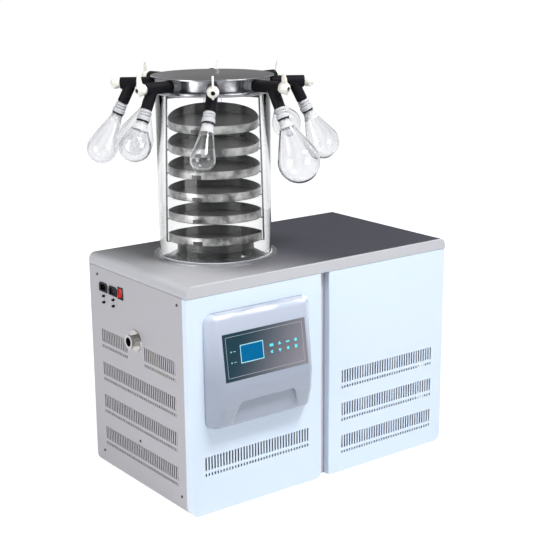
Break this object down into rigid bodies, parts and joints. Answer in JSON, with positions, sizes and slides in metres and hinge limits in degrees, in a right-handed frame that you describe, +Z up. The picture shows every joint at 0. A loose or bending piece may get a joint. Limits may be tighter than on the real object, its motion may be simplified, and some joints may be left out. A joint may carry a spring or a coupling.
{
  "type": "freeze dryer",
  "caption": "Floor-standing manifold freeze dryer: refrigerated cabinet, clear drying chamber with a tray rack, and a ring of valves with flasks.",
  "frame": {"origin": "centre of the cabinet's underside, on the surface it stands on", "axes": "+X to the right along the front, +Y towards the back, +Z up; the control housing is on the front (-Y)"},
  "size_m": [0.9097, 0.6784, 1.0905],
  "materials": {
    "cover_paint": "satin",
    "side_paint": "satin",
    "front_paint": "gloss",
    "frame_steel": "satin",
    "screw_steel": "satin",
    "housing_plastic": "gloss",
    "fascia_film": "gloss",
    "display_film": "gloss",
    "socket_plastic": "satin",
    "switch_plastic": "gloss",
    "turned_steel": "polished",
    "trap_steel": "brushed",
    "rack_steel": "brushed",
    "tray_steel": "brushed",
    "lid_steel": "polished",
    "copper_tube": "satin",
    "foam": "matte",
    "compressor_paint": "gloss",
    "fin_aluminium": "satin",
    "fan_plastic": "satin",
    "clear_acrylic": "clear",
    "clear_glass": "clear",
    "clear_plastic": "translucent",
    "white_plastic": "gloss",
    "black_rubber": "satin",
    "base_plastic": "satin"
  },
  "bodies": {
    "root": {"chassis": "frame_steel", "top_cover": "cover_paint", "left_side_panel": "side_paint", "right_side_panel": "side_paint", "back_panel": "side_paint", "front_panel_left": "front_paint", "front_panel_right": "front_paint", "panel_screws": "screw_steel", "control_housing": "housing_plastic", "control_fascia": "fascia_film", "lcd_window": "display_film", "power_sockets": "socket_plastic", "rocker_bezel": "socket_plastic", "fuse_holders": "socket_plastic", "port_bezel": "turned_steel", "cold_trap": "trap_steel", "trap_coil": "copper_tube", "trap_insulation": "foam", "compressor": "compressor_paint", "condenser": "fin_aluminium", "guide_ring": "trap_steel", "rack_base": "base_plastic", "tray_rack": "rack_steel", "tray_1": "tray_steel", "tray_2": "tray_steel", "tray_3": "tray_steel", "tray_4": "tray_steel", "tray_5": "tray_steel", "tray_6": "tray_steel", "chamber_cylinder": "clear_acrylic", "manifold_lid": "lid_steel", "port_nipples": "clear_plastic", "seal_rings": "black_rubber", "flask_adapters": "clear_plastic", "valve_body_1": "black_rubber", "valve_body_2": "black_rubber", "valve_body_3": "black_rubber", "valve_body_4": "black_rubber", "valve_body_5": "black_rubber", "valve_body_6": "black_rubber", "valve_body_7": "black_rubber", "valve_body_8": "black_rubber", "flask_1": "clear_glass", "flask_2": "clear_glass", "flask_3": "clear_glass", "flask_4": "clear_glass", "flask_5": "clear_glass", "flask_6": "clear_glass", "flask_7": "clear_glass", "flask_8": "clear_glass"},
    "rocker": {"rocker": "switch_plastic"},
    "fan": {"fan_rotor": "fan_plastic"},
    "knob_1": {"valve_knob_1": "white_plastic"},
    "knob_2": {"valve_knob_2": "white_plastic"},
    "knob_3": {"valve_knob_3": "white_plastic"},
    "knob_4": {"valve_knob_4": "white_plastic"},
    "knob_5": {"valve_knob_5": "white_plastic"},
    "knob_6": {"valve_knob_6": "white_plastic"},
    "knob_7": {"valve_knob_7": "white_plastic"},
    "knob_8": {"valve_knob_8": "white_plastic"}
  },
  "joints": [
    {"name": "knob_1_turn", "type": "hinge", "parent": "root", "child": "knob_1", "pos_m": [-0.30421, -0.18397, 1.0515], "axis": [-0.5592, -0.829, 0], "continuous": true},
    {"name": "knob_2_turn", "type": "hinge", "parent": "root", "child": "knob_2", "pos_m": [-0.40559, -0.03079, 1.0515], "axis": [-0.9816, -0.1908, 0], "continuous": true},
    {"name": "knob_3_turn", "type": "hinge", "parent": "root", "child": "knob_3", "pos_m": [-0.36897, 0.14921, 1.0515], "axis": [-0.829, 0.5592, 0], "continuous": true},
    {"name": "knob_4_turn", "type": "hinge", "parent": "root", "child": "knob_4", "pos_m": [-0.21579, 0.25059, 1.0515], "axis": [-0.1908, 0.9816, 0], "continuous": true},
    {"name": "knob_5_turn", "type": "hinge", "parent": "root", "child": "knob_5", "pos_m": [-0.03579, 0.21397, 1.0515], "axis": [0.5592, 0.829, 0], "continuous": true},
    {"name": "knob_6_turn", "type": "hinge", "parent": "root", "child": "knob_6", "pos_m": [0.06559, 0.06079, 1.0515], "axis": [0.9816, 0.1908, 0], "continuous": true},
    {"name": "knob_7_turn", "type": "hinge", "parent": "root", "child": "knob_7", "pos_m": [0.02897, -0.11921, 1.0515], "axis": [0.829, -0.5592, 0], "continuous": true},
    {"name": "knob_8_turn", "type": "hinge", "parent": "root", "child": "knob_8", "pos_m": [-0.12421, -0.22059, 1.0515], "axis": [0.1908, -0.9816, 0], "continuous": true},
    {"name": "rocker_press", "type": "hinge", "parent": "root", "child": "rocker", "pos_m": [-0.426, 0.075, 0.5195], "axis": [0, -1, 0], "range_deg": [0, 14]},
    {"name": "fan_spin", "type": "hinge", "parent": "root", "child": "fan", "pos_m": [0.2215, -0.1205, 0.165], "axis": [0, 1, 0], "continuous": true}
  ]
}
